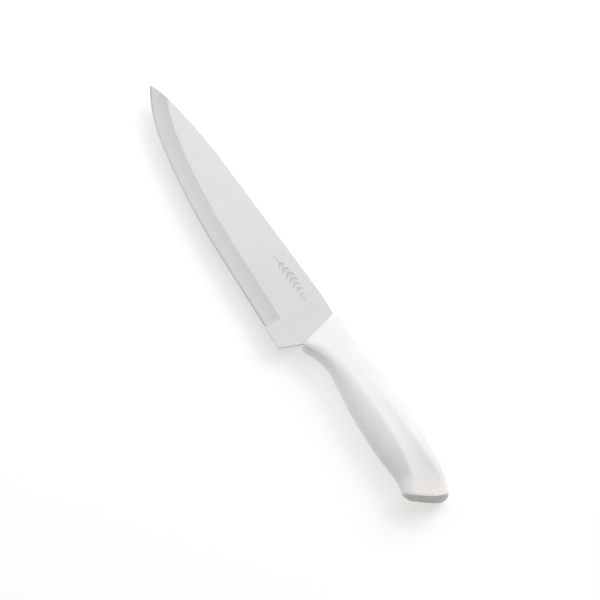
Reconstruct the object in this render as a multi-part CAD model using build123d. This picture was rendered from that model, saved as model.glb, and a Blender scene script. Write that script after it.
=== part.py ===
from build123d import *
from collections import namedtuple
from math import cos, radians, sin, tan
import os

# Chef knife with a stamped steel blade and a plastic handle moulded round its tang, in millimetres.
# The knife lies on its side: +X runs from tip to butt, +Y from edge to spine, +Z out of the left side.
# While it is drawn, x = 0 is the front of the handle at the spine, y = 0 is the line of the spine
# and z = 0 is the middle of the blade's thickness.

# Blade
blade_length = 204.5        # front of the handle to the tip
heel_depth = 42.3           # spine line to the heel corner
tip_drop = 8.8              # spine line to the tip
stock_thickness = 2.1       # the strip that the blank is stamped from
polish_depth = 0.05         # taken off each side of the exposed blade
polish_margin = 0.5         # unpolished strip left in front of the handle
heel_lead = 1.5             # heel corner in front of the handle's front at the spine
heel_lean = 24.0            # heel line from square to the spine, degrees
heel_round = 1.2
edge_slope = 3.4            # straight part of the edge against the spine line, degrees
edge_curve_length = 128.0   # tip back to the end of the straight edge
tip_curve_length = 39.7     # tip back to the tighter curve of the edge
tip_curve_depth = 16.5      # start of that curve below the tip
spine_curve_length = 78.0   # tip back to the end of the straight spine
spine_nose_length = 11.1    # tip back to the tighter curve of the spine
spine_nose_rise = 3.6       # start of that curve above the tip
spine_dip = 1.6             # fall of the spine where it enters the handle
spine_dip_length = 18.5

# Grind
plunge_setback = 16.3       # heel corner to the plunge line, along the edge
grind_width = 11.3          # edge to the grind line
grind_hollow = 0.08         # depth of the hollow below a flat grind
edge_bevel_width = 1.0
edge_bevel_half = 0.30      # half thickness where the edge bevel meets the grind
edge_half = 0.04            # half thickness of the edge itself
grind_overrun = 25.0        # the cut carries on past the tip

# Tang
tang_length = 98.0
tang_neck = 7.0             # front of the handle to the full inset of the tang's upper edge
tang_inset = 5.0            # spine line to the tang's upper edge at the neck
tang_end_inset = 9.0        # spine line to the upper edge at the tang's end
tang_front_width = 17.0
tang_end_width = 12.0
tang_shoulder = 16.0        # front of the handle to the tang's lower shoulder
heel_embed = 3.0            # heel line carried on inside the handle
tang_round = 2.0
lock_hole_diameter = 6.0
lock_hole_count = 3
lock_hole_first = 27.0      # front of the handle to the first hole
lock_hole_end = 17.0        # last hole to the tang's end

# Handle
handle_length = 138.4       # front at the spine to the crown of the butt, along its slant
handle_thickness = 19.8     # across the ridges at the palm, before they are rounded
front_lean = 13.3           # front face from square to the spine, degrees
butt_lean = 38.0            # butt face from square to the spine, degrees
butt_drop = 10.5            # spine line to the spine end of the butt face
butt_swell = 1.8            # the middle of the butt face stands out from its ends
nose_round = 5.0            # front face to spine side, in plan
butt_round = 3.0            # butt face to spine side, in plan
lip_round = 4.0             # butt face to belly side, in plan
ridge_round = 1.6
belly_fullness = 0.47       # how square the belly side is, as a share of the half thickness
belly_reach = 0.45          # how far the side runs on below the crease, as a share of the belly's height
spine_fullness = 0.6        # how square the spine side is
trim_clearance = 0.05       # the trimming outline passes this far outside the sides

# Places along the handle
guard_x = 7.5               # lowest point of the guard
neck_x = 24.0               # where the fingers close, the slimmest place
palm_x = 72.0               # the fullest place
tail_setback = 26.4         # crown of the butt to the place where the belly turns out to the lip
tail_x = handle_length - tail_setback
middle_x = (palm_x + tail_x) / 2
rear_x = (middle_x + tail_x) / 2

# Cross-sections of the handle, front to butt. The first five sizes are heights from the spine line: the
# spine side, the shoulder where its rounding starts, the ridge, the crease over the belly rounding and
# the belly side. Next are the half thicknesses at shoulder, ridge and crease. The last three are the
# rounding of the crease, the slope at which the belly rounding arrives at it, in degrees, and how far
# the side sinks between crease and ridge.
Section = namedtuple("Section", "x spine shoulder ridge crease belly "
                                "shoulder_half ridge_half crease_half crease_round crease_slope flute")
palm_half = handle_thickness / 2
handle_sections = [
    Section(-6.0, 1.6, -0.6, -8.5, -29.0, -31.6, 6.4, 6.8, 6.8, 1.1, 26.0, 0.0),
    Section(guard_x, 2.1, -0.1, -8.5, -26.6, -30.2, 6.7, 7.1, 7.1, 1.7, 28.0, 0.0),
    Section(neck_x - 9.0, 1.4, -0.9, -8.4, -22.6, -27.6, 7.0, 7.5, 7.5, 2.2, 30.0, 0.0),
    Section(neck_x, 1.0, -1.5, -8.4, -19.7, -25.8, 7.4, 7.9, 7.9, 2.6, 27.0, 0.0),
    Section(neck_x + 9.0, 1.4, -1.3, -8.4, -18.1, -26.0, 7.8, 8.4, 8.4, 2.5, 23.0, 0.0),
    Section(neck_x + 20.0, 2.3, -0.9, -8.3, -17.2, -27.7, 8.2, 8.9, 8.9, 2.2, 19.0, 0.0),
    Section(palm_x - 15.0, 3.1, -0.7, -8.2, -16.6, -29.8, 8.7, 9.4, 9.4, 1.2, 13.0, 0.04),
    Section(palm_x, 4.1, -0.4, -7.9, -16.9, -31.2, 9.0, palm_half, 9.65, 1.0, 14.0, 0.08),
    Section(middle_x, 2.4, -2.0, -8.1, -18.3, -32.0, 9.1, 9.8, 9.3, 1.0, 20.0, 0.22),
    Section(rear_x, 0.3, -3.5, -8.3, -20.3, -31.6, 9.1, 9.6, 8.7, 1.0, 24.0, 0.33),
    Section(tail_x, -1.9, -5.0, -8.5, -23.2, -31.9, 9.0, 9.3, 7.9, 1.2, 28.0, 0.36),
    Section(tail_x + 10.0, -4.6, -6.8, -8.8, -29.0, -35.4, 8.7, 9.0, 7.2, 1.4, 30.0, 0.36),
    Section(tail_x + 19.0, -9.0, -10.8, -12.6, -34.9, -39.6, 8.5, 8.8, 7.1, 1.3, 28.0, 0.35),
    Section(tail_x + 28.0, -14.6, -16.2, -18.0, -39.0, -43.0, 8.3, 8.6, 7.0, 1.2, 26.0, 0.34),
]


def front_x(y):
    """Place of the handle's front face at height y."""
    return -(y + spine_dip) * tan(radians(front_lean))


def edge_path():
    """The cutting edge, heel to tip: a straight run, the belly and the tighter curve of the tip."""
    heel = Vector(-heel_lead, -heel_depth)
    run = heel.X + blade_length - edge_curve_length
    belly_start = Vector(heel.X - run, heel.Y + run * tan(radians(edge_slope)))
    nose_start = Vector(-blade_length + tip_curve_length, -tip_drop - tip_curve_depth)
    tip = Vector(-blade_length, -tip_drop)
    straight = Line(heel, belly_start)
    belly = TangentArc(belly_start, nose_start, tangent=straight % 1)
    nose = TangentArc(nose_start, tip, tangent=belly % 1)
    return straight, belly, nose


def spine_path():
    """The spine, handle to tip: the dip at the handle, a straight run, the drop and its tighter end."""
    run_start = Vector(-spine_dip_length, 0)
    run_end = Vector(-blade_length + spine_curve_length, 0)
    nose_start = Vector(-blade_length + spine_nose_length, -tip_drop + spine_nose_rise)
    tip = Vector(-blade_length, -tip_drop)
    straight = Line(run_start, run_end)
    dip = TangentArc(run_start, Vector(0, -spine_dip), tangent=Vector(1, 0))
    drop = TangentArc(run_end, nose_start, tangent=straight % 1)
    nose = TangentArc(nose_start, tip, tangent=drop % 1)
    return dip, straight, drop, nose


def heel_end():
    """Inner end of the heel line, inside the handle."""
    climb = tan(radians(heel_lean))
    slope = tan(radians(front_lean))
    y = (climb * heel_depth - heel_lead + slope * spine_dip) / -(slope + climb)
    embed = heel_embed * cos(radians(heel_lean))
    return Vector(front_x(y) + embed * climb, y + embed)


def tang_middle(x):
    """Height of the middle of the tang at x."""
    front = -tang_inset - tang_front_width / 2
    end = -tang_end_inset - tang_end_width / 2
    return front + (end - front) * (x - tang_neck) / (tang_length - tang_neck)


def make_blank():
    """Blade and tang stamped in one piece, with the lock holes that the plastic runs through."""
    tang = Polyline(
        (0, -spine_dip),
        (tang_neck, -tang_inset),
        (tang_length, -tang_end_inset),
        (tang_length, -tang_end_inset - tang_end_width),
        (tang_shoulder, -tang_inset - tang_front_width),
        heel_end(),
        (-heel_lead, -heel_depth),
    )
    outline = make_face(Curve() + [*edge_path(), *spine_path(), *tang.edges()])
    outline = fillet([v for v in outline.vertices() if v.X > tang_neck - 1], tang_round)
    heel_corner = outline.vertices().sort_by(Axis.Y)[0]
    outline = fillet(heel_corner, heel_round)
    blank = extrude(outline, stock_thickness / 2, both=True)
    pitch = (tang_length - lock_hole_first - lock_hole_end) / (lock_hole_count - 1)
    for index in range(lock_hole_count):
        x = lock_hole_first + index * pitch
        blank -= Pos(x, tang_middle(x), 0) * Cylinder(lock_hole_diameter / 2, stock_thickness)
    return blank


def polish_cut():
    """What polishing takes off both sides of the blade, up to a margin in front of the handle."""
    top = 2 * heel_depth
    flat_half = stock_thickness / 2 - polish_depth
    far = -2 * blade_length
    region = make_face(Polyline(
        (far, -top),
        (front_x(-top) - polish_margin, -top),
        (front_x(top) - polish_margin, top),
        (far, top),
        close=True,
    ))
    layer = extrude(region, stock_thickness)
    return Pos(0, 0, flat_half) * layer + Pos(0, 0, -flat_half - stock_thickness) * layer


def grind_cut():
    """What grinding takes off both sides along the edge: a hollow bevel and the edge bevel below it."""
    straight, belly, nose = edge_path()
    start = straight @ 0 + (straight % 0) * plunge_setback
    overrun = Line(nose @ 1, nose @ 1 + (nose % 1) * grind_overrun)
    path = Wire([Edge.make_line(start, straight @ 1), belly.edge(), nose.edge(), overrun.edge()])
    flat_half = stock_thickness / 2 - polish_depth
    clear = stock_thickness
    # Profile across the edge: u runs inwards from the edge, v out of the blade's side.
    middle_u = (edge_bevel_width + grind_width) / 2
    middle_v = (edge_bevel_half + flat_half) / 2 - grind_hollow
    outer = Polyline(
        (grind_width, flat_half), (grind_width, clear), (-clear, clear), (-clear, 0), (0, 0),
    )
    side = Curve() + [
        Line((0, 0), (0, edge_half)),
        Line((0, edge_half), (edge_bevel_width, edge_bevel_half)),
        ThreePointArc((edge_bevel_width, edge_bevel_half), (middle_u, middle_v), (grind_width, flat_half)),
        *outer.edges(),
    ]
    profile = make_face(side)
    across = Plane(start, x_dir=Vector(0, 0, 1).cross(straight % 0) * -1, z_dir=straight % 0)
    cut = sweep(across * profile, path=path)
    return cut + mirror(cut, Plane.XY)


def make_blade():
    return make_blank() - polish_cut() - grind_cut()


def section_half(s, side):
    """One half of a cross-section of the handle, from the belly side round to the spine side."""
    rise = tan(radians(s.crease_slope))
    facet_slope = (s.ridge_half - s.shoulder_half) / (s.shoulder - s.ridge)
    below_crease = (s.crease - s.belly) * belly_reach
    above_shoulder = (s.spine - s.shoulder) * spine_fullness
    belly = Vector(s.x, s.belly, 0)
    crease = Vector(s.x, s.crease, side * s.crease_half)
    ridge = Vector(s.x, s.ridge, side * s.ridge_half)
    shoulder = Vector(s.x, s.shoulder, side * s.shoulder_half)
    spine = Vector(s.x, s.spine, 0)
    sink = (crease + ridge) / 2 - Vector(0, 0, side * 2 * s.flute)
    crease_in = crease - Vector(0, 1, side * rise).normalized() * s.crease_round
    crease_out = crease + (sink - crease).normalized() * s.crease_round
    ridge_in = ridge + (sink - ridge).normalized() * ridge_round
    ridge_out = ridge + (shoulder - ridge).normalized() * ridge_round
    belly_pull = Vector(0, 0, side * s.crease_half * belly_fullness)
    crease_pull = Vector(0, below_crease, side * below_crease * rise)
    shoulder_pull = Vector(0, above_shoulder, -side * above_shoulder * facet_slope)
    spine_pull = Vector(0, 0, side * s.shoulder_half * spine_fullness)
    return [
        [belly, belly + belly_pull, crease_in - crease_pull, crease_in],
        [crease_in, crease, crease_out],
        [crease_out, sink, ridge_in],
        [ridge_in, ridge, ridge_out],
        [ridge_out, shoulder],
        [shoulder, shoulder + shoulder_pull, spine + spine_pull, spine],
    ]


def section_wire(s):
    """A whole cross-section, the same above and below the middle of the blade."""
    upper = section_half(s, 1)
    lower = [curve[::-1] for curve in section_half(s, -1)[::-1]]
    return Wire([Edge.make_bezier(*curve) for curve in upper + lower])


def butt_corner(near, far, side, clearance):
    """Where an end of the butt face meets the line that joins one side of two sections."""
    butt_slope = tan(radians(butt_lean))
    near_y = getattr(near, side) + clearance
    side_slope = (getattr(far, side) - getattr(near, side)) / (far.x - near.x)
    end_x = handle_length - butt_swell + butt_drop * butt_slope
    y = (near_y + side_slope * (end_x - near.x)) / (1 - side_slope * butt_slope)
    return Vector(end_x + y * butt_slope, y)


def plan_outline():
    """Outline in plan that trims the handle: slanted front, bowed butt face and rounded corners."""
    nose, shelf, lip, tail, last = handle_sections[1], *handle_sections[-4:]
    top = nose.spine + trim_clearance
    far = 2 * heel_depth
    nose_corner = Vector(front_x(top), top)
    spine_corner = butt_corner(tail, last, "spine", trim_clearance)
    lip_corner = butt_corner(shelf, lip, "belly", -trim_clearance)
    crown = (spine_corner + lip_corner) / 2 + Vector(butt_swell, 0)
    above = Polyline(
        (front_x(-far), -far),
        nose_corner,
        (nose.x, top),
        (nose.x, far),
        (tail.x, far),
        (tail.x, tail.spine + trim_clearance),
        spine_corner,
    )
    below = Polyline(
        lip_corner,
        (shelf.x, shelf.belly - trim_clearance),
        (shelf.x, -far),
        (front_x(-far), -far),
    )
    butt = ThreePointArc(spine_corner, crown, lip_corner)
    outline = make_face(Curve() + [*above.edges(), butt, *below.edges()])
    for corner, radius in ((nose_corner, nose_round), (spine_corner, butt_round), (lip_corner, lip_round)):
        outline = fillet(outline.vertices().sort_by_distance(corner)[0], radius)
    return outline


def make_handle(blade):
    """The handle, moulded round the tang, so it fills the lock holes and touches the steel all over."""
    body = Solid.make_loft([section_wire(s) for s in handle_sections])
    body &= extrude(plan_outline(), handle_thickness, both=True)
    return body - blade


def main():
    """Write both pieces with the origin under the middle of the knife, at the handle's lowest point."""
    os.makedirs("parts", exist_ok=True)
    blade = make_blade()
    handle = make_handle(blade)
    box = Compound([blade, handle]).bounding_box()
    to_origin = Pos(-box.center().X, -box.center().Y, -box.min.Z)
    for name, piece in (("blade", blade), ("handle", handle)):
        export_step(to_origin * piece, f"parts/{name}.step")


main()
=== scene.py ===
import bpy
import bmesh
from math import cos, radians, sin, sqrt, tan
from mathutils import Matrix, Vector


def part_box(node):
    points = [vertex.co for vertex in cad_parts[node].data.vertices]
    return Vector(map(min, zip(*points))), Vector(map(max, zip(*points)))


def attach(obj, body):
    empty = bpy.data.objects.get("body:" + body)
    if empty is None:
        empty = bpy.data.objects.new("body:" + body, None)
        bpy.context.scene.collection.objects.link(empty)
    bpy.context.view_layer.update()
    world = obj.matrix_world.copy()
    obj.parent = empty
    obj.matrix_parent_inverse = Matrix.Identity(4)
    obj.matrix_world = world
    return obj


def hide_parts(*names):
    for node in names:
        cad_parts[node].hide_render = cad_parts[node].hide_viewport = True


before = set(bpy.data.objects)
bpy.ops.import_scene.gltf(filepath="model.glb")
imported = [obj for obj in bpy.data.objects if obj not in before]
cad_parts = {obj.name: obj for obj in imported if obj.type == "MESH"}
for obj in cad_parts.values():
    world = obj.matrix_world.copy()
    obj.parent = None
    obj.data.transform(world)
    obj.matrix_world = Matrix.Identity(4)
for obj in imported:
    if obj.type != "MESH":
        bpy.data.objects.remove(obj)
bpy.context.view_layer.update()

bladeLow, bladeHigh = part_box("blade")
handleLow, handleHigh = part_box("handle")
mm = 0.001
tiny = 1e-9
samePlace = 1e-7        # metres, nearer than this counts as touching
mergeWithin = 1e-6      # metres

# The handle and the marks on the blade are laid out from the handle's front at the spine,
# x towards the butt, y up from the spine line, z out of the left side of the blade.
layout = {
    "bladeLength": 204.5,       # front of the handle to the tip
}
handleFront = Vector((
    bladeLow[0] + layout["bladeLength"] * mm,
    bladeHigh[1],
    (handleLow[2] + handleHigh[2]) / 2,
))


# ---------- small helpers

def addObject(name, bm, material):
    # turns a finished bmesh into an object with its material
    mesh = bpy.data.meshes.new(name)
    bm.to_mesh(mesh)
    bm.free()
    mesh.materials.append(material)
    obj = bpy.data.objects.new(name, mesh)
    bpy.context.scene.collection.objects.link(obj)
    return obj


def smoothAt(points, x):
    # height of the smooth line through the points at x
    if x <= points[0][0]:
        return points[0][1]
    if x >= points[-1][0]:
        return points[-1][1]
    slopes = []
    for i in range(len(points)):
        before, after = points[max(i - 1, 0)], points[min(i + 1, len(points) - 1)]
        slopes.append((after[1] - before[1]) / (after[0] - before[0]))
    for i in range(len(points) - 1):
        (x0, y0), (x1, y1) = points[i], points[i + 1]
        if x <= x1:
            span = x1 - x0
            t = (x - x0) / span
            rise = (3 - 2 * t) * t * t
            return (y0 * (1 - rise) + y1 * rise
                    + span * t * (1 - t) * ((1 - t) * slopes[i] - t * slopes[i + 1]))


def cornerDrop(distance, radius):
    # how far a rounded corner falls back at this distance from its end
    if distance >= radius:
        return 0
    return radius - sqrt(max(radius ** 2 - (radius - distance) ** 2, 0))


def bezierPoint(points, t):
    # point of a curve of any degree, by blending between its handles until one point is left
    while len(points) > 1:
        points = [a.lerp(b, t) for a, b in zip(points, points[1:])]
    return points[0]


# ---------- handle

handle = {
    "length": 138.2,            # front at the spine to the crown of the butt
    "frontLean": 13.3,          # degrees from square to the spine
    "frontY": -1.6,             # height that the front leans about
    "frontEase": 25,            # the sections turn square over this length
    "buttLean": 38.0,
    "buttY": -10.5,
    "buttEase": 90,             # the sections start to lean here
    "easePower": 1.5,
    "buttBulge": 1.8,           # the crown stands out from the ends of the butt face
    "bulgeMiddle": -24,
    "bulgeHalf": 12.5,
    "noseRound": 5.0,           # front face to spine
    "guardRound": 0.9,          # front face to belly
    "buttRound": 3.0,           # butt face to spine
    "lipRound": 4.0,            # butt face to belly
    "rimRound": 0.5,            # end faces to both sides
    "ridgeRound": 1.6,
    "ridgeRoundOut": 0.9,       # share of it on the spine's side
    "creaseAboveBelly": 1.3,    # least distance
    "creaseRoundShare": 0.55,   # the rounding takes at most this share of the way to the belly
    "bellyFullness": 0.47,
    "bellyReach": 0.45,
    "spineFullness": 0.6,
    "seamWidth": 0.3,
    "seamHeight": 0.05,
    "rimInset": 0.97,           # end faces are cut again just inside the rim, which keeps them flat
    "columns": 150,
    "rows": 44,
    # share of the rows that each curve of a section gets, from belly to spine
    "rowShares": (0.26, 0.09, 0.19, 0.13, 0.1, 0.23),
    # lines along the handle: heights in plan, half thicknesses, degrees of slope and depths, all
    # against x, in mm
    "spine": [(-6, 1.6), (4, 2.2), (9, 2.0), (16, 1.3), (24, 1.0), (33, 1.4), (47, 2.5), (61, 3.3),
              (72, 4.04), (83, 3.6), (94, 2.0), (106, -0.6), (118, -3.2), (126, -6.2), (134, -10.6),
              (142, -16.0)],
    "belly": [(-6, -31.6), (8, -30.2), (16, -27.3), (27, -25.6), (40, -27.0), (57, -29.8),
              (74, -31.3), (92, -32.0), (102, -31.6), (111, -31.7), (118, -33.6), (124, -36.5), (132, -40)],
    "crease": [(-6, -29.3), (7, -26.8), (14, -22.8), (22, -20.0), (32, -18.2), (44, -17.2), (56, -16.6),
               (68, -16.7), (80, -17.3), (92, -18.3), (104, -20.7), (112, -23.2), (119, -27.6),
               (125, -31.0), (132, -35.5)],
    "ridge": [(-6, -8.5), (50, -8.3), (72, -7.9), (86, -8.0), (102, -8.3), (115, -8.5), (126, -8.9),
              (133, -12.0), (142, -18.6)],
    # the shoulder lies this far below the spine
    "shoulderInset": [(-6, 2.2), (20, 2.4), (52, 3.6), (74, 4.6), (91, 4.4), (108, 3.4), (122, 2.2),
                      (137, 1.6)],
    "ridgeHalf": [(-6, 6.8), (8, 7.1), (19, 7.7), (31, 8.3), (52, 9.2), (74, 9.85), (91, 9.8), (108, 9.5),
                  (122, 9.0), (140, 8.7)],
    "creaseHalf": [(-6, 6.8), (8, 7.15), (19, 7.8), (31, 8.4), (52, 9.25), (74, 9.65), (91, 9.35), (108, 8.3),
                   (122, 7.2), (140, 7.0)],
    "shoulderHalf": [(-6, 6.4), (8, 6.7), (19, 7.2), (31, 7.7), (52, 8.5), (74, 9.0), (91, 9.1), (108, 9.1),
                     (122, 8.7), (140, 8.3)],
    "creaseSlope": [(-6, 24), (8, 26), (14, 27), (22, 25), (32, 22), (44, 18), (56, 12), (68, 11), (80, 13),
                    (92, 16), (104, 21), (112, 25), (119, 30), (140, 26)],
    "creaseRound": [(-6, 2.2), (8, 2.8), (14, 3.0), (22, 2.8), (32, 2.6), (44, 2.2), (56, 1.2), (68, 1.0),
                    (104, 1.0), (119, 1.4), (140, 1.2)],
    "flute": [(-6, 0), (40, 0), (52, 0.03), (80, 0.12), (92, 0.22), (104, 0.34), (122, 0.36), (140, 0.34)],
}


def handleSection(along):
    # curves of the left half of one section, from belly to spine, as (y, z), and its slant
    h = handle
    frontSlope, buttSlope = -tan(radians(h["frontLean"])), tan(radians(h["buttLean"]))
    toButt = max((along - h["buttEase"]) / (h["length"] - h["buttEase"]), 0)
    toFront = max(1 - along / h["frontEase"], 0)
    slope = frontSlope * toFront ** h["easePower"] + buttSlope * toButt ** h["easePower"]
    levelY = h["frontY"] + (h["buttY"] - h["frontY"]) * along / h["length"]
    fromButt = h["length"] - along

    def place(y):
        # x of the section at this height
        offMiddle = (y - h["bulgeMiddle"]) / h["bulgeHalf"]
        return along + slope * (y - levelY) - h["buttBulge"] * toButt ** 3 * offMiddle ** 2

    def lineHeight(name):
        # where the slanted section meets a line
        y = levelY
        for _ in range(8):
            y = smoothAt(h[name], place(y))
        return y

    rim = cornerDrop(along, h["rimRound"]) + cornerDrop(fromButt, h["rimRound"])
    spineY = lineHeight("spine") - cornerDrop(along, h["noseRound"]) - cornerDrop(fromButt, h["buttRound"])
    bellyY = lineHeight("belly") + cornerDrop(along, h["guardRound"]) + cornerDrop(fromButt, h["lipRound"])
    creaseY = max(lineHeight("crease"), bellyY + h["creaseAboveBelly"])
    shoulderY = spineY - smoothAt(h["shoulderInset"], place(spineY))
    ridgeY = min(lineHeight("ridge"), shoulderY - h["ridgeRound"])
    creaseZ = smoothAt(h["creaseHalf"], place(creaseY)) - rim
    ridgeZ = smoothAt(h["ridgeHalf"], place(ridgeY)) - rim
    shoulderZ = smoothAt(h["shoulderHalf"], place(shoulderY)) - rim
    rise = tan(radians(smoothAt(h["creaseSlope"], along)))
    sink = 2 * smoothAt(h["flute"], along)

    belly, spine = Vector((bellyY, 0)), Vector((spineY, 0))
    crease, ridge = Vector((creaseY, creaseZ)), Vector((ridgeY, ridgeZ))
    shoulder = Vector((shoulderY, shoulderZ))
    middle = (crease + ridge) / 2 - Vector((0, sink))
    creaseRound = smoothAt(h["creaseRound"], along)
    roundBelow = min(creaseRound, (creaseY - bellyY) * h["creaseRoundShare"])
    creaseIn = crease - Vector((1, rise)).normalized() * roundBelow
    creaseOut = crease + (middle - crease).normalized() * creaseRound
    ridgeIn = ridge + (middle - ridge).normalized() * h["ridgeRound"]
    ridgeOut = ridge + (shoulder - ridge).normalized() * h["ridgeRound"] * h["ridgeRoundOut"]
    bellyReach = (creaseIn[0] - bellyY) * h["bellyReach"]
    spineReach = (spineY - shoulderY) * h["spineFullness"]
    facetSlope = (ridgeZ - shoulderZ) / (shoulderY - ridgeY)
    curves = [
        [belly, belly + Vector((0, creaseZ * h["bellyFullness"])),
         creaseIn - Vector((bellyReach, bellyReach * rise)), creaseIn],
        [creaseIn, crease, creaseOut],
        [creaseOut, middle, ridgeIn],
        [ridgeIn, ridge, ridgeOut],
        [ridgeOut, shoulder],
        [shoulder, shoulder + Vector((spineReach, -spineReach * facetSlope)),
         spine + Vector((0, shoulderZ * h["spineFullness"])), spine],
    ]
    return curves, place


def handlePoint(section, across):
    # point of a section, across from 0 at the belly to 1 at the spine
    curves, place = section
    start = 0
    for curve, share in zip(curves, handle["rowShares"]):
        if across <= start + share + tiny or curve is curves[-1]:
            y, z = bezierPoint(curve, min(max((across - start) / share, 0), 1))
            return Vector((place(y), y, z)) * mm
        start += share


def closeEnds(bm, ends):
    # the front and butt faces, carried from each rim to the middle plane
    rims = [e for e in bm.edges if e.is_boundary and e.verts[0] in ends and e.verts[1] in ends]
    for shrink in (handle["rimInset"], 0):
        grown = bmesh.ops.extrude_edge_only(bm, edges=rims)["geom"]
        for vert in (g for g in grown if isinstance(g, bmesh.types.BMVert)):
            vert.co.z *= shrink
        rims = [g for g in grown if isinstance(g, bmesh.types.BMEdge)]


def raiseSeam(bm):
    # the fine line that the two halves of the mould leave along belly and spine
    h = handle
    seam = []
    for edge in bm.edges:
        first, second = edge.verts
        inPlane = abs(first.co.z) < samePlace and abs(second.co.z) < samePlace
        alongHandle = abs(first.co.x - second.co.x) > tiny
        # the end faces look along the handle, so only belly and spine look up or down in plan
        if inPlane and alongHandle and all(abs(face.normal.y) > 0.5 for face in edge.link_faces):
            seam.append(edge)
    bmesh.ops.bevel(bm, geom=seam, offset=h["seamWidth"] / 2 * mm, segments=2, profile=0.5,
                    affect="EDGES", material=-1)
    bm.normal_update()
    for vert in bm.verts:
        if abs(vert.co.z) < samePlace and abs(vert.normal.y) > 0.8:
            vert.co.y += h["seamHeight"] * mm * (1 if vert.normal.y > 0 else -1)


def buildHandle(material):
    h = handle
    bm = bmesh.new()
    bmesh.ops.create_grid(bm, x_segments=h["columns"], y_segments=h["rows"], size=1)
    sections = {}
    ends = set()
    for vert in bm.verts:
        column, across = (vert.co.x + 1) / 2, (vert.co.y + 1) / 2
        key = round(column, 5)
        if key not in sections:
            # columns crowd towards both ends, where the corners are
            along = h["length"] * (3 - 2 * column) * column * column
            sections[key] = handleSection(along)
        if key in (0, 1):
            ends.add(vert)
        vert.co = handlePoint(sections[key], across)
    closeEnds(bm, ends)
    bmesh.ops.mirror(bm, geom=bm.verts[:] + bm.edges[:] + bm.faces[:], merge_dist=mergeWithin, axis="Z")
    bmesh.ops.remove_doubles(bm, verts=bm.verts, dist=mergeWithin)
    bmesh.ops.dissolve_degenerate(bm, edges=bm.edges, dist=samePlace)
    bmesh.ops.recalc_face_normals(bm, faces=bm.faces)
    raiseSeam(bm)
    bmesh.ops.translate(bm, verts=bm.verts, vec=handleFront)
    bmesh.ops.recalc_face_normals(bm, faces=bm.faces)
    for face in bm.faces:
        face.smooth = True
    print("handle open edges:", sum(not e.is_manifold for e in bm.edges))
    piece = addObject("mouldedHandle", bm, material)
    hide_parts("handle")
    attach(piece, "root")
    print("handle built,", len(piece.data.polygons), "faces")


# ---------- materials

def newMaterial(name):
    material = bpy.data.materials.new(name)
    material.use_nodes = True
    nodes = material.node_tree.nodes
    return material, nodes, material.node_tree.links, nodes["Principled BSDF"]


def noise(nodes, links, scale, detail=3.0, stretch=(1, 1, 1), turn=(0, 0, 0), roughness=0.5):
    # noise on the piece's own coordinates, scale in cells a metre
    coords = nodes.new("ShaderNodeTexCoord")
    mapping = nodes.new("ShaderNodeMapping")
    mapping.inputs["Scale"].default_value = stretch
    mapping.inputs["Rotation"].default_value = [radians(a) for a in turn]
    texture = nodes.new("ShaderNodeTexNoise")
    texture.inputs["Scale"].default_value = scale
    texture.inputs["Detail"].default_value = detail
    texture.inputs["Roughness"].default_value = roughness
    links.new(coords.outputs["Object"], mapping.inputs["Vector"])
    links.new(mapping.outputs["Vector"], texture.inputs["Vector"])
    return texture.outputs["Fac"]


def ranged(nodes, links, value, low, high, newLow, newHigh):
    node = nodes.new("ShaderNodeMapRange")
    for name, number in (("From Min", low), ("From Max", high), ("To Min", newLow), ("To Max", newHigh)):
        node.inputs[name].default_value = number
    links.new(value, node.inputs["Value"])
    return node.outputs["Result"]


def combined(nodes, links, operation, first, second):
    # first and second are numbers or outputs
    node = nodes.new("ShaderNodeMath")
    node.operation = operation
    for socket, value in zip(node.inputs, (first, second)):
        if isinstance(value, (int, float)):
            socket.default_value = value
        else:
            links.new(value, socket)
    return node.outputs["Value"]


def mixed(nodes, links, factor, first, second):
    # first and second are colours or the output of another mix
    node = nodes.new("ShaderNodeMix")
    node.data_type = "RGBA"
    links.new(factor, node.inputs["Factor"])
    colourA, colourB, colourOut = node.inputs[6], node.inputs[7], node.outputs[2]
    for socket, value in ((colourA, first), (colourB, second)):
        if isinstance(value, tuple):
            socket.default_value = value + (1,)
        else:
            links.new(value, socket)
    return colourOut


def bumped(nodes, links, shader, layers):
    # layers of height, strength and distance in mm, one over the other
    under = None
    for height, strength, distance in layers:
        node = nodes.new("ShaderNodeBump")
        node.inputs["Strength"].default_value = strength
        node.inputs["Distance"].default_value = distance * mm
        links.new(height, node.inputs["Height"])
        if under:
            links.new(under, node.inputs["Normal"])
        under = node.outputs["Normal"]
    links.new(under, shader.inputs["Normal"])


def distanceFrom(nodes, links, point, direction):
    # how far a place lies from a plane through the point, in metres
    coords = nodes.new("ShaderNodeTexCoord")
    subtract = nodes.new("ShaderNodeVectorMath")
    subtract.operation = "SUBTRACT"
    subtract.inputs[1].default_value = point
    dot = nodes.new("ShaderNodeVectorMath")
    dot.operation = "DOT_PRODUCT"
    dot.inputs[1].default_value = direction
    links.new(coords.outputs["Object"], subtract.inputs[0])
    links.new(subtract.outputs["Vector"], dot.inputs[0])
    return dot.outputs["Value"]


plastic = {
    "clean": (0.805, 0.80, 0.79),
    "cloudy": (0.782, 0.774, 0.76),
    "paintedShadeTone": (0.60, 0.565, 0.515),    # warm grey of the painted shade on the butt face, towards the butt and at the blade entry
    "cloudScale": 45,                   # cells a metre
    "speckScale": 420,
    "scuffScale": 260,
    "grainSize": 0.45,                  # mm
    "grainHeight": 0.03,
    "roughness": (0.38, 0.54),
    "translucency": 0.06,
    "translucentDepth": 1.2,            # mm
    # place from, place to in mm from the end face, and the amount of painted shade at each
    # painted shade on the butt face
    "buttFacePaintedShade": (-2.2, -0.3, 0, 0.75),
    # painted shade fading in over the last 48 mm before the butt
    "buttwardPaintedShade": (-48, -2, 0, 0.5),
    # painted contact shade in a thin band at the blade entry
    "entryPaintedShade": (0.2, 1.4, 0.3, 0),
}


# painted shade that ramps with the distance from an end face
def paintedShadeNear(nodes, links, place, setting):
    near, far, atNear, atFar = setting
    return ranged(nodes, links, place, near * mm, far * mm, atNear, atFar)


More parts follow.
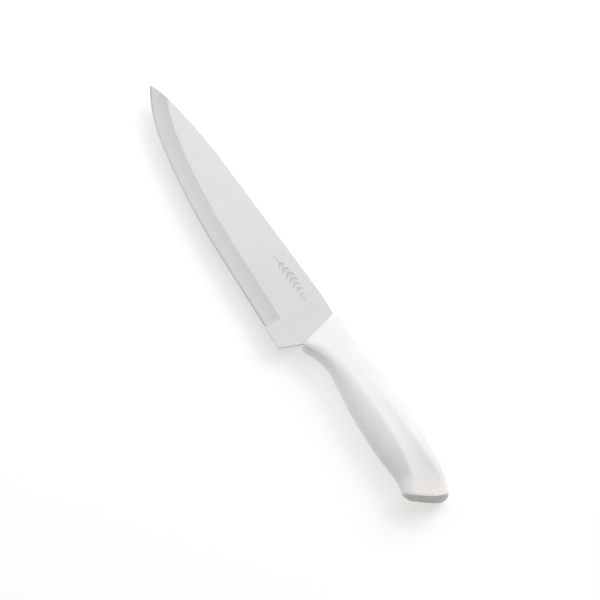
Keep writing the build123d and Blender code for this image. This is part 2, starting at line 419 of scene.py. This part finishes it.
def whitePlastic():
    p = plastic
    material, nodes, links, shader = newMaterial("whitePolypropylene")
    grain = noise(nodes, links, 1000 / p["grainSize"], 2)
    cloud = noise(nodes, links, p["cloudScale"], 4)
    speck = noise(nodes, links, p["speckScale"], 3, roughness=0.65)
    scuff = noise(nodes, links, p["scuffScale"], 3, (0.2, 1.6, 1.0), (0, 0, 12))
    colour = mixed(nodes, links, ranged(nodes, links, cloud, 0.38, 0.66, 0, 1), p["clean"], p["cloudy"])

    # painted shade: dark on the butt face, fading from the butt towards the palm, and a thin dark rim at the
    # blade entry
    buttTilt, frontTilt = radians(handle["buttLean"]), radians(handle["frontLean"])
    buttPoint = handleFront + Vector((handle["length"], handle["buttY"], 0)) * mm
    frontPoint = handleFront + Vector((0, handle["frontY"], 0)) * mm
    fromButt = distanceFrom(nodes, links, buttPoint, (cos(buttTilt), -sin(buttTilt), 0))
    fromFront = distanceFrom(nodes, links, frontPoint, (cos(frontTilt), sin(frontTilt), 0))
    # painted shade towards the butt, mottled by the cloud
    mottledButtwardShade = combined(nodes, links, "MULTIPLY", paintedShadeNear(nodes, links, fromButt, p["buttwardPaintedShade"]), cloud)
    # painted shade on the butt face, added to the fading shade
    paintedShadeAmount = combined(nodes, links, "ADD", paintedShadeNear(nodes, links, fromButt, p["buttFacePaintedShade"]), mottledButtwardShade)
    # painted contact shade where the blade enters the handle
    paintedShadeAmount = combined(nodes, links, "ADD", paintedShadeAmount, paintedShadeNear(nodes, links, fromFront, p["entryPaintedShade"]))
    # specks vary the painted shade a little
    paintedShadeAmount = combined(nodes, links, "MULTIPLY", paintedShadeAmount, ranged(nodes, links, speck, 0.3, 0.7, 0.75, 1.1))
    links.new(mixed(nodes, links, paintedShadeAmount, colour, p["paintedShadeTone"]), shader.inputs["Base Color"])

    low, high = p["roughness"]
    links.new(ranged(nodes, links, scuff, 0.35, 0.7, low, high), shader.inputs["Roughness"])
    shader.inputs["IOR"].default_value = 1.49
    shader.inputs["Subsurface Weight"].default_value = p["translucency"]
    shader.inputs["Subsurface Radius"].default_value = (1.0, 0.9, 0.8)
    shader.inputs["Subsurface Scale"].default_value = p["translucentDepth"] * mm
    bumped(nodes, links, shader, [(grain, 0.35, p["grainHeight"]), (scuff, 0.12, p["grainHeight"])])
    return material


steel = {
    "bright": (0.545, 0.538, 0.545),
    "dull": (0.512, 0.505, 0.512),
    "scratched": (0.64, 0.64, 0.645),
    "grainPitch": 0.32,                 # mm between the strokes of the belt
    "grainHeight": 0.004,
    "broadScale": 620,                  # cells a metre
    "cloudScale": 26,
    "scratchScale": 1500,
    "roughness": (0.275, 0.335),
}


def blended(nodes, links, first, second, share):
    # share of the first pattern, the rest of the second
    return combined(nodes, links, "ADD", combined(nodes, links, "MULTIPLY", first, share),
                    combined(nodes, links, "MULTIPLY", second, 1 - share))


def bladeSteel():
    p = steel
    material, nodes, links, shader = newMaterial("satinSteel")
    # the belt ran across the blade, so its strokes are long in y
    strokes = noise(nodes, links, 1000 / p["grainPitch"], 2, (1, 0.02, 0.02), (0, 0, 2), 0.7)
    broad = noise(nodes, links, p["broadScale"], 2, (1, 0.05, 0.05), (0, 0, -3))
    cloud = noise(nodes, links, p["cloudScale"], 3)
    scratch = noise(nodes, links, p["scratchScale"], 0, (0.03, 1, 1), (0, 0, 24))
    tone = blended(nodes, links, strokes, cloud, 0.6)
    colour = mixed(nodes, links, ranged(nodes, links, tone, 0.36, 0.64, 0, 1), p["dull"], p["bright"])
    fine = ranged(nodes, links, scratch, 0.72, 0.84, 0, 0.14)
    links.new(mixed(nodes, links, fine, colour, p["scratched"]), shader.inputs["Base Color"])
    low, high = p["roughness"]
    polish = blended(nodes, links, broad, cloud, 0.5)
    links.new(ranged(nodes, links, polish, 0.36, 0.64, low, high), shader.inputs["Roughness"])
    shader.inputs["Metallic"].default_value = 1
    bumped(nodes, links, shader, [(strokes, 0.22, p["grainHeight"])])
    return material


etch = {
    "dark": (0.40, 0.40, 0.41),
    "light": (0.50, 0.50, 0.51),
    "frostScale": 3200,                 # cells a metre
    "frostHeight": 0.006,               # mm
    "roughness": (0.5, 0.68),
}


def etchedSteel():
    p = etch
    material, nodes, links, shader = newMaterial("frostedEtch")
    frost = noise(nodes, links, p["frostScale"], 2)
    colour = mixed(nodes, links, ranged(nodes, links, frost, 0.35, 0.65, 0, 1), p["dark"], p["light"])
    links.new(colour, shader.inputs["Base Color"])
    low, high = p["roughness"]
    links.new(ranged(nodes, links, frost, 0.35, 0.65, low, high), shader.inputs["Roughness"])
    shader.inputs["Metallic"].default_value = 1
    bumped(nodes, links, shader, [(frost, 0.4, p["frostHeight"])])
    return material


# ---------- the sprig etched in the blade

sprig = {
    "place": (-38.4, -10.2),    # middle of the sprig
    "length": 34.0,
    "stemWidth": 0.6,
    "bow": 1.1,                 # rise of the stem's middle over its ends
    "leafyShare": 0.84,         # part of the stem that carries pairs of leaves
    "pairs": 7,
    "leafLength": 5.6,
    "leafWidth": 1.5,
    "leafLean": 38.0,           # degrees from the stem
    "endLeafLean": -8.0,
    "endLeafSize": 0.7,
    "flatHalf": 1.0,            # middle of the blade to its flat
    "sunk": 0.01,
    "proud": 0.012,
}


def raiseShape(bm, faces):
    # gives a flat shape its thickness, from just under the steel's face to just over it
    grown = bmesh.ops.extrude_face_region(bm, geom=faces)["geom"]
    top = [g for g in grown if isinstance(g, bmesh.types.BMVert)]
    bmesh.ops.translate(bm, verts=top, vec=(0, 0, sprig["sunk"] + sprig["proud"]))


def addLeaf(bm, place, turn, size):
    s = sprig
    made = bmesh.ops.create_circle(bm, cap_ends=True, segments=24, radius=1)["verts"]
    for vert in made:
        # pointed at both ends, fullest near the stem
        fullness = sqrt(max(1 - abs(vert.co.x), 0)) * (1.25 - 0.3 * vert.co.x)
        vert.co = Vector(((vert.co.x + 1) * s["leafLength"] / 2 * size,
                          vert.co.y * fullness * s["leafWidth"] / 2 * size, 0))
    bmesh.ops.rotate(bm, verts=made, cent=(0, 0, 0), matrix=Matrix.Rotation(radians(turn), 3, "Z"))
    bmesh.ops.translate(bm, verts=made, vec=(place[0], place[1], 0))
    raiseShape(bm, list({f for v in made for f in v.link_faces}))


def stemHeight(x):
    return sprig["bow"] * (1 - (2 * x / sprig["length"]) ** 2)


def buildSprig(material):
    s = sprig
    bm = bmesh.new()
    made = bmesh.ops.create_grid(bm, x_segments=24, y_segments=1, size=1)["verts"]
    for vert in made:
        x = vert.co.x * s["length"] / 2
        taper = 0.65 - 0.35 * vert.co.x
        vert.co = Vector((x, stemHeight(x) + vert.co.y * s["stemWidth"] / 2 * taper, 0))
    raiseShape(bm, bm.faces[:])
    for pair in range(s["pairs"]):
        share = (pair + 0.9) / s["pairs"]
        x = (share - 0.5) * s["length"] * s["leafyShare"]
        # the leaves are largest a little before the middle
        size = 1.0 - 0.38 * abs(share - 0.45) / 0.55
        for side in (1, -1):
            addLeaf(bm, (x, stemHeight(x)), side * s["leafLean"], size)
    end = s["length"] / 2 - 0.4
    addLeaf(bm, (end, stemHeight(end)), s["endLeafLean"], s["endLeafSize"])
    bmesh.ops.recalc_face_normals(bm, faces=bm.faces)
    bmesh.ops.scale(bm, verts=bm.verts, vec=(mm, mm, mm))
    middle = handleFront + Vector((s["place"][0], s["place"][1], s["flatHalf"] - s["sunk"])) * mm
    bmesh.ops.translate(bm, verts=bm.verts, vec=middle)
    piece = addObject("etchedSprig", bm, material)
    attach(piece, "root")
    print("sprig etched,", len(piece.data.polygons), "faces")


def finishBlade(material):
    # the blade keeps its CAD shape
    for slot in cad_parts["blade"].material_slots:
        slot.material = material
    print("blade finished")


buildHandle(whitePlastic())
finishBlade(bladeSteel())
buildSprig(etchedSteel())


# ---------- floor, light and camera

studio = {
    "floorSize": 14.0,          # metres
    "floorTone": 0.45,
    "floorGlow": 0.53,          # the lit sweep under the knife
    "ambient": 0.09,
    "wallTone": 0.8,
    "lampSize": 1.0,            # metres
    "lampDistance": 1.6,
    # name: degrees round from +X, degrees up, watts
    "lamps": {
        "keySoftbox": (90, 35, 21.5),
        "fillCard": (225, 15, 9.5),
        "fillCardHigh": (225, 35, 3.0),
        "tipSoftbox": (180, 55, 3.0),
        "tipCard": (135, 35, 4.5),
        "overheadSpine": (60, 75, 4.5),
        "overheadBelly": (240, 75, 1.5),
        "overheadTip": (130, 55, 2.5),
    },
}


def buildFloor():
    bm = bmesh.new()
    bmesh.ops.create_grid(bm, x_segments=1, y_segments=1, size=studio["floorSize"] / 2)
    material, nodes, links, shader = newMaterial("paleFloor")
    shader.inputs["Base Color"].default_value = (studio["floorTone"],) * 3 + (1,)
    shader.inputs["Roughness"].default_value = 0.9
    shader.inputs["Emission Color"].default_value = (1, 1, 1, 1)
    shader.inputs["Emission Strength"].default_value = studio["floorGlow"]
    addObject("floor", bm, material)


def areaLight(name, azimuth, elevation, watts):
    # a square softbox that looks at the middle of the knife
    azimuth, elevation = radians(azimuth), radians(elevation)
    away = Vector((cos(azimuth) * cos(elevation), sin(azimuth) * cos(elevation), sin(elevation)))
    data = bpy.data.lights.new(name, "AREA")
    data.shape = "SQUARE"
    data.size = studio["lampSize"]
    data.energy = watts
    lamp = bpy.data.objects.new(name, data)
    lamp.location = away * studio["lampDistance"]
    lamp.rotation_euler = away.to_track_quat("Z", "Y").to_euler()
    bpy.context.scene.collection.objects.link(lamp)


def buildStudio():
    buildFloor()
    for name, (azimuth, elevation, watts) in studio["lamps"].items():
        areaLight(name, azimuth, elevation, watts)
    world = bpy.data.worlds.new("studio")
    world.use_nodes = True
    nodes, links = world.node_tree.nodes, world.node_tree.links
    background = nodes["Background"]
    background.inputs["Color"].default_value = (1, 1, 1, 1)
    # the wall behind the sweep looks pale, and gives the knife only a little light
    path = nodes.new("ShaderNodeLightPath")
    seen = ranged(nodes, links, path.outputs["Is Camera Ray"], 0, 1, studio["ambient"], studio["wallTone"])
    links.new(seen, background.inputs["Strength"])
    bpy.context.scene.world = world
    bpy.context.scene.view_settings.view_transform = "Standard"
    print("studio lit")


buildStudio()


view = {
    "azimuth": 55.71,                # degrees round from -Y
    "elevation": 68.0,
    "distance": 1.0,                 # metres
    "lens": 95.26,
    "sensor": 36,
    "aim": (-20.88, -12.96, 0.0),    # mm from the front of the handle
}


def placeCamera():
    azimuth, elevation = radians(view["azimuth"]), radians(view["elevation"])
    back = Vector((sin(azimuth) * cos(elevation), -cos(azimuth) * cos(elevation), sin(elevation)))
    data = bpy.data.cameras.new("camera")
    data.lens = view["lens"]
    data.sensor_width = view["sensor"]
    data.clip_start, data.clip_end = 0.01, 20
    camera = bpy.data.objects.new("camera", data)
    camera.location = handleFront + Vector(view["aim"]) * mm + back * view["distance"]
    camera.rotation_euler = back.to_track_quat("Z", "Y").to_euler()
    bpy.context.scene.collection.objects.link(camera)
    bpy.context.scene.camera = camera
    print("camera placed")


placeCamera()
